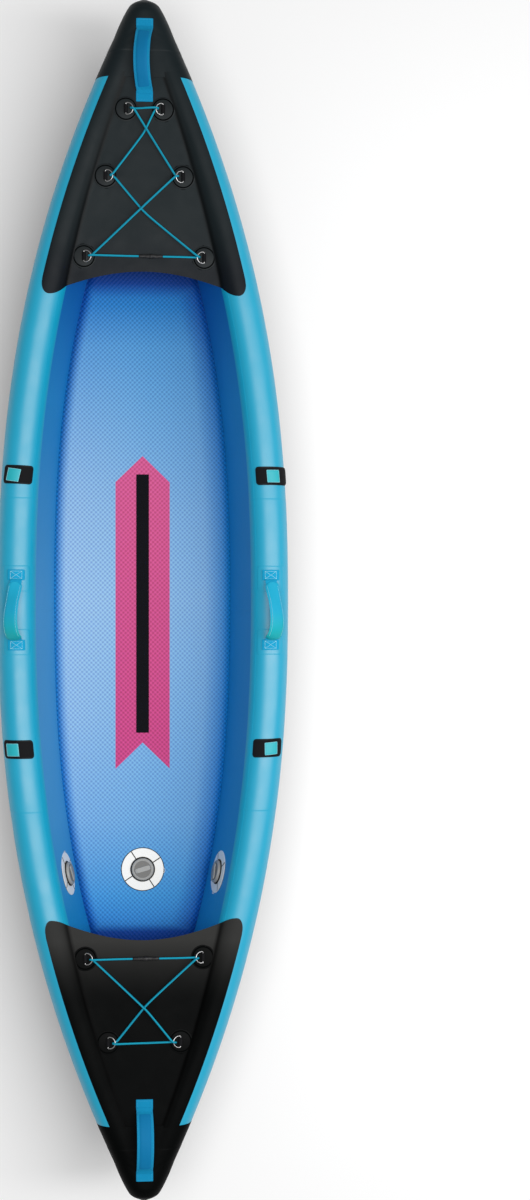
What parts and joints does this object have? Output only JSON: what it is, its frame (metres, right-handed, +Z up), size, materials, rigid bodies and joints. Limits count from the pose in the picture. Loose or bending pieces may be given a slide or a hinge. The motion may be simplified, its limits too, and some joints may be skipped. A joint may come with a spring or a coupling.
{
  "type": "inflatable kayak",
  "caption": "Long open inflatable kayak with pointed ends, laced spray decks, carrying handles, paddle holders and a fin box.",
  "frame": {"origin": "middle of the overall box, on the plane that the flat of the bottom rests on", "axes": "+Y to the bow, +X to starboard, +Z up"},
  "size_m": [0.8556, 3.5, 0.4752],
  "materials": {
    "side_pvc": "satin coated fabric",
    "floor_pvc": "embossed coated fabric",
    "black_pvc": "satin coated fabric",
    "black_patch": "satin coated fabric",
    "ring_steel": "polished stainless steel",
    "cord": "braided elastic cord",
    "cord_sleeve": "shrunk sleeve",
    "valve_white": "moulded",
    "valve_grey": "moulded",
    "webbing_blue": "woven webbing",
    "webbing_cyan": "woven webbing",
    "black_strap": "hook-and-loop strap",
    "hook_strip": "hook-and-loop pile",
    "moulded_black": "moulded, satin"
  },
  "bodies": {
    "hull": {"bow_bungee": "cord", "bow_bungee_sleeve": "cord_sleeve", "bow_deck": "black_pvc", "bow_handle_base": "webbing_blue", "bow_nose_cap": "black_pvc", "bow_patch_1_left": "black_patch", "bow_patch_1_right": "black_patch", "bow_patch_2_left": "black_patch", "bow_patch_2_right": "black_patch", "bow_patch_3_left": "black_patch", "bow_patch_3_right": "black_patch", "fin_box": "moulded_black", "fin_box_patch": "black_pvc", "floor_chamber": "floor_pvc", "floor_valve_body": "valve_white", "left_front_paddle_pad": "black_patch", "left_handle_base": "webbing_cyan", "left_rear_paddle_pad": "black_patch", "left_side_chamber": "side_pvc", "left_valve_body": "valve_white", "right_front_paddle_pad": "black_patch", "right_handle_base": "webbing_cyan", "right_rear_paddle_pad": "black_patch", "right_side_chamber": "side_pvc", "right_valve_body": "valve_white", "seat_hook_strip": "hook_strip", "stern_bungee": "cord", "stern_bungee_sleeve": "cord_sleeve", "stern_deck": "black_pvc", "stern_handle_base": "webbing_blue", "stern_nose_cap": "black_pvc", "stern_patch_1_left": "black_patch", "stern_patch_1_right": "black_patch", "stern_patch_2_left": "black_patch", "stern_patch_2_right": "black_patch"},
    "bow_ring_1_left_body": {"bow_ring_1_left": "ring_steel"},
    "bow_ring_1_right_body": {"bow_ring_1_right": "ring_steel"},
    "bow_ring_2_left_body": {"bow_ring_2_left": "ring_steel"},
    "bow_ring_2_right_body": {"bow_ring_2_right": "ring_steel"},
    "bow_ring_3_left_body": {"bow_ring_3_left": "ring_steel"},
    "bow_ring_3_right_body": {"bow_ring_3_right": "ring_steel"},
    "stern_ring_1_left_body": {"stern_ring_1_left": "ring_steel"},
    "stern_ring_1_right_body": {"stern_ring_1_right": "ring_steel"},
    "stern_ring_2_left_body": {"stern_ring_2_left": "ring_steel"},
    "stern_ring_2_right_body": {"stern_ring_2_right": "ring_steel"},
    "floor_valve_cap_body": {"floor_valve_cap": "valve_grey"},
    "floor_valve_plunger_body": {"floor_valve_plunger": "valve_grey"},
    "left_valve_cap_body": {"left_valve_cap": "valve_grey"},
    "left_valve_plunger_body": {"left_valve_plunger": "valve_grey"},
    "right_valve_cap_body": {"right_valve_cap": "valve_grey"},
    "right_valve_plunger_body": {"right_valve_plunger": "valve_grey"},
    "bow_handle": {"bow_handle_grip": "webbing_blue"},
    "stern_handle": {"stern_handle_grip": "webbing_blue"},
    "left_handle": {"left_handle_grip": "webbing_cyan"},
    "right_handle": {"right_handle_grip": "webbing_cyan"},
    "left_front_paddle_strap_body": {"left_front_paddle_strap": "black_strap"},
    "left_rear_paddle_strap_body": {"left_rear_paddle_strap": "black_strap"},
    "right_front_paddle_strap_body": {"right_front_paddle_strap": "black_strap"},
    "right_rear_paddle_strap_body": {"right_rear_paddle_strap": "black_strap"}
  },
  "joints": [
    {"name": "bow_ring_1_left_hinge", "type": "hinge", "parent": "hull", "child": "bow_ring_1_left_body", "pos_m": [-0.054, 1.42733, 0.41343], "axis": [0, -0.9932, -0.1162], "range_deg": [0, 45], "deforming": ["bow_bungee"]},
    {"name": "bow_ring_1_right_hinge", "type": "hinge", "parent": "hull", "child": "bow_ring_1_right_body", "pos_m": [0.054, 1.42733, 0.41343], "axis": [0, 0.9932, 0.1162], "range_deg": [0, 45], "deforming": ["bow_bungee"]},
    {"name": "bow_ring_2_left_hinge", "type": "hinge", "parent": "hull", "child": "bow_ring_2_left_body", "pos_m": [-0.113, 1.23638, 0.392], "axis": [0, -0.9943, -0.107], "range_deg": [0, 45], "deforming": ["bow_bungee"]},
    {"name": "bow_ring_2_right_hinge", "type": "hinge", "parent": "hull", "child": "bow_ring_2_right_body", "pos_m": [0.113, 1.23638, 0.392], "axis": [0, 0.9943, 0.107], "range_deg": [0, 45], "deforming": ["bow_bungee"]},
    {"name": "bow_ring_3_left_hinge", "type": "hinge", "parent": "hull", "child": "bow_ring_3_left_body", "pos_m": [-0.176, 1.00544, 0.36846], "axis": [0, -0.9954, -0.0958], "range_deg": [0, 45], "deforming": ["bow_bungee"]},
    {"name": "bow_ring_3_right_hinge", "type": "hinge", "parent": "hull", "child": "bow_ring_3_right_body", "pos_m": [0.176, 1.00544, 0.36846], "axis": [0, 0.9954, 0.0958], "range_deg": [0, 45], "deforming": ["bow_bungee"]},
    {"name": "stern_ring_1_left_hinge", "type": "hinge", "parent": "hull", "child": "stern_ring_1_left_body", "pos_m": [-0.172, -1.04752, 0.37877], "axis": [0, -0.9965, 0.083], "range_deg": [0, 45], "deforming": ["stern_bungee"]},
    {"name": "stern_ring_1_right_hinge", "type": "hinge", "parent": "hull", "child": "stern_ring_1_right_body", "pos_m": [0.172, -1.04752, 0.37877], "axis": [0, 0.9965, -0.083], "range_deg": [0, 45], "deforming": ["stern_bungee"]},
    {"name": "stern_ring_2_left_hinge", "type": "hinge", "parent": "hull", "child": "stern_ring_2_left_body", "pos_m": [-0.1055, -1.28845, 0.40027], "axis": [0, -0.9955, 0.0947], "range_deg": [0, 45], "deforming": ["stern_bungee"]},
    {"name": "stern_ring_2_right_hinge", "type": "hinge", "parent": "hull", "child": "stern_ring_2_right_body", "pos_m": [0.1055, -1.28845, 0.40027], "axis": [0, 0.9955, -0.0947], "range_deg": [0, 45], "deforming": ["stern_bungee"]},
    {"name": "floor_valve_cap_turn", "type": "hinge", "parent": "hull", "child": "floor_valve_cap_body", "pos_m": [0, -0.826, 0.11099], "axis": [0, 0.0918, 0.9958], "range_deg": [0, 90]},
    {"name": "floor_valve_plunger_push", "type": "slide", "parent": "hull", "child": "floor_valve_plunger_body", "axis": [0, -0.0918, -0.9958], "range_m": [0, 0.006], "stiffness_N_per_m": 400, "springref_m": -0.003},
    {"name": "left_valve_cap_turn", "type": "hinge", "parent": "hull", "child": "left_valve_cap_body", "pos_m": [-0.22621, -0.82, 0.22576], "axis": [0.9588, 0.2032, 0.1986], "range_deg": [0, 90]},
    {"name": "left_valve_plunger_push", "type": "slide", "parent": "hull", "child": "left_valve_plunger_body", "axis": [-0.9588, -0.2032, -0.1986], "range_m": [0, 0.006], "stiffness_N_per_m": 400, "springref_m": -0.003},
    {"name": "right_valve_cap_turn", "type": "hinge", "parent": "hull", "child": "right_valve_cap_body", "pos_m": [0.22621, -0.82, 0.22576], "axis": [-0.9588, 0.2032, 0.1986], "range_deg": [0, 90]},
    {"name": "right_valve_plunger_push", "type": "slide", "parent": "hull", "child": "right_valve_plunger_body", "axis": [0.9588, -0.2032, -0.1986], "range_m": [0, 0.006], "stiffness_N_per_m": 400, "springref_m": -0.003},
    {"name": "bow_handle_swing", "type": "hinge", "parent": "hull", "child": "bow_handle", "pos_m": [0, 1.566, 0.43232], "axis": [0, 0.9939, 0.1107], "range_deg": [-25, 75]},
    {"name": "stern_handle_swing", "type": "hinge", "parent": "hull", "child": "stern_handle", "pos_m": [0, -1.567, 0.43219], "axis": [0, 0.9938, -0.1116], "range_deg": [-50, 50]},
    {"name": "left_handle_swing", "type": "hinge", "parent": "hull", "child": "left_handle", "pos_m": [-0.37257, -0.029, 0.37519], "axis": [0.0035, -1, 0.0014], "range_deg": [-70, 40]},
    {"name": "right_handle_swing", "type": "hinge", "parent": "hull", "child": "right_handle", "pos_m": [0.37257, -0.029, 0.37519], "axis": [0.0035, 1, -0.0014], "range_deg": [-70, 40]},
    {"name": "left_front_paddle_strap_open", "type": "hinge", "parent": "hull", "child": "left_front_paddle_strap_body", "pos_m": [-0.32527, 0.366, 0.36224], "axis": [0, 1, 0], "range_deg": [0, 135]},
    {"name": "left_rear_paddle_strap_open", "type": "hinge", "parent": "hull", "child": "left_rear_paddle_strap_body", "pos_m": [-0.3199, -0.436, 0.36361], "axis": [0, 1, 0], "range_deg": [0, 135]},
    {"name": "right_front_paddle_strap_open", "type": "hinge", "parent": "hull", "child": "right_front_paddle_strap_body", "pos_m": [0.32527, 0.366, 0.36224], "axis": [0, -1, 0], "range_deg": [0, 135]},
    {"name": "right_rear_paddle_strap_open", "type": "hinge", "parent": "hull", "child": "right_rear_paddle_strap_body", "pos_m": [0.3199, -0.436, 0.36361], "axis": [0, -1, 0], "range_deg": [0, 135]}
  ]
}
